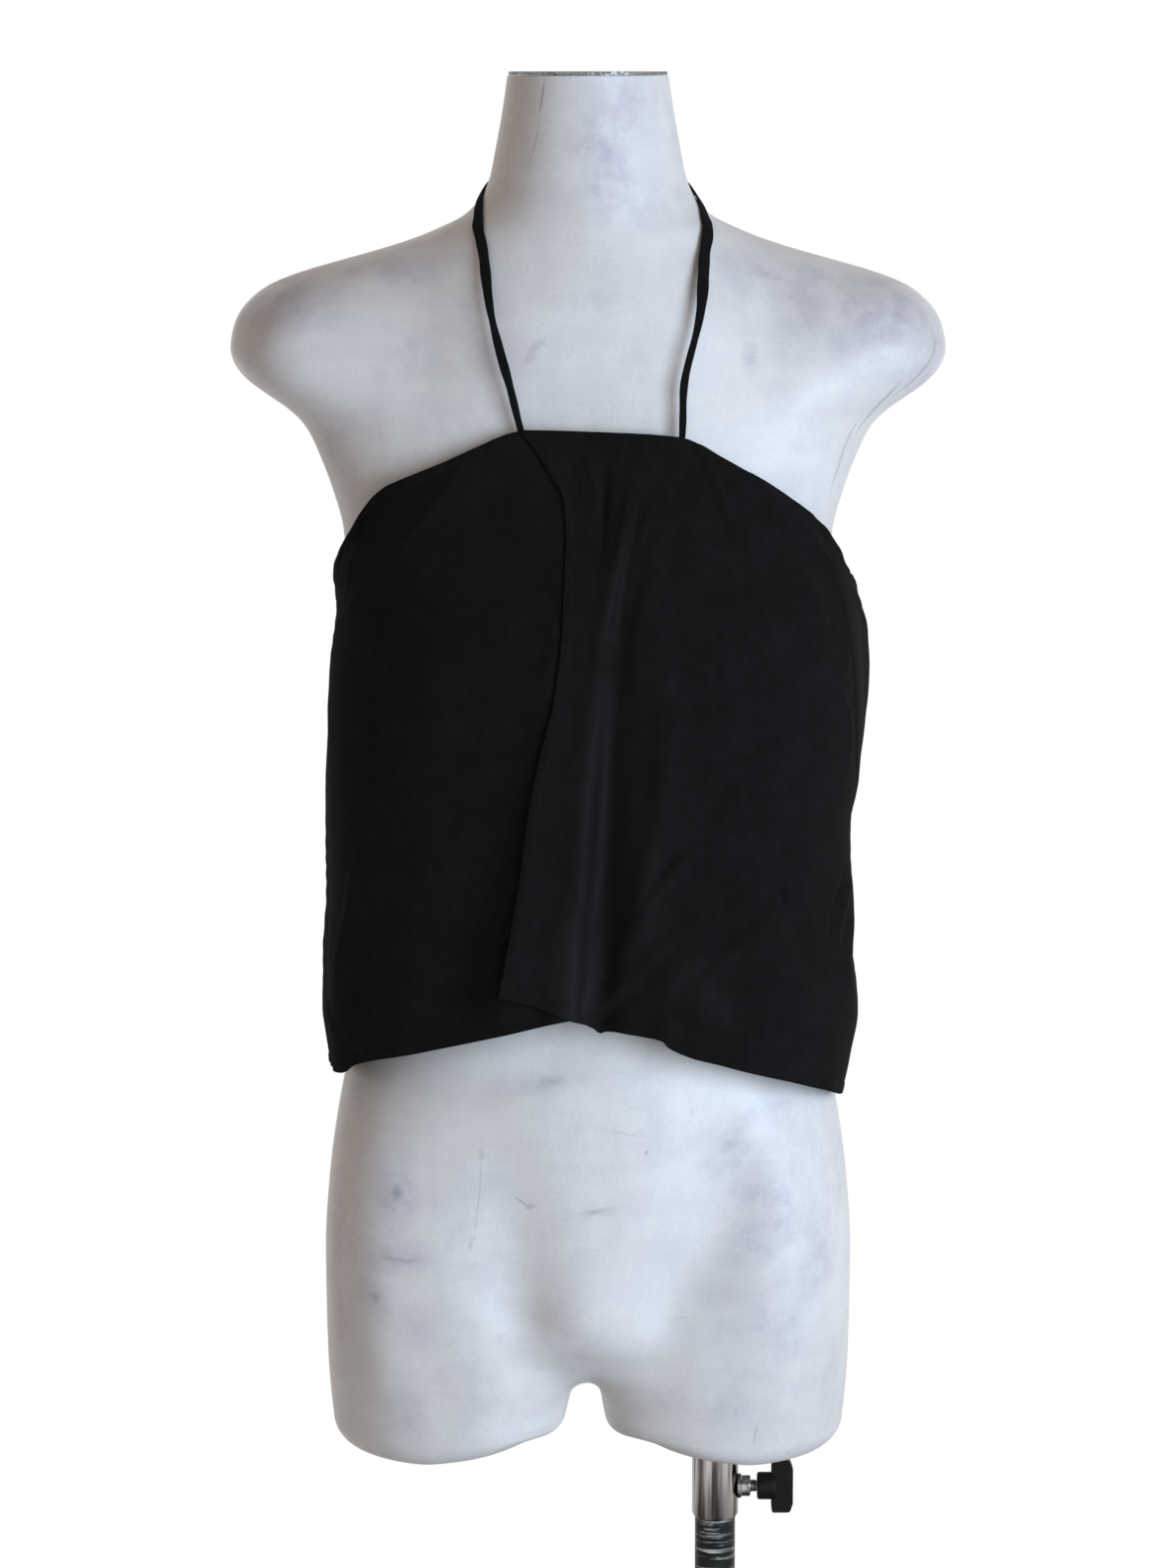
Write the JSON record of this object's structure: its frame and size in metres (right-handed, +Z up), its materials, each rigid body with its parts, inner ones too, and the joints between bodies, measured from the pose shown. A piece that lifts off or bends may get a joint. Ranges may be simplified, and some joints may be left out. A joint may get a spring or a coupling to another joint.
{
  "type": "halter-neck tube top on a limbless dress form",
  "caption": "Loose black halter-neck tube top with a wrapped front, worn by a limbless off-white dress form on a clamped pole and a round base.",
  "frame": {"origin": "centre of the base plate's underside, on the pole's axis", "axes": "+Z up along the pole, -Y the way the front of the garment faces, +X towards the garment's left side, on the viewer's right"},
  "size_m": [0.4328, 0.3, 1.1423],
  "materials": {
    "black_cloth": "black woven crepe with a low sheen",
    "form_shell": "off-white painted shell, half gloss, with smudges and fine scratches",
    "grey_metal": "dull grey plate",
    "chrome": "polished, a little worn",
    "black_plastic": "moulded, low gloss",
    "black_metal": "black finish, scratched through to bare metal on the pole"
  },
  "bodies": {
    "base": {"base_plate": "black_metal"},
    "pole": {"pole": "black_metal"},
    "form": {"dress_form": "form_shell", "neck_cap": "grey_metal", "collar": "chrome", "front_under": "black_cloth", "front_over": "black_cloth", "back": "black_cloth", "neck_strap": "black_cloth"},
    "knob": {"clamp_screw": "chrome", "wing_knob": "black_plastic"}
  },
  "joints": [
    {"name": "form_turn", "type": "hinge", "parent": "base", "child": "pole", "pos_m": [0, 0, 0], "axis": [0, 0, 1], "continuous": true},
    {"name": "form_height", "type": "slide", "parent": "pole", "child": "form", "axis": [0, 0, 1], "range_m": [-0.18, 0.12]},
    {"name": "knob_turn", "type": "hinge", "parent": "form", "child": "knob", "pos_m": [0.025, 0, 0.306], "axis": [1, 0, 0], "continuous": true}
  ]
}
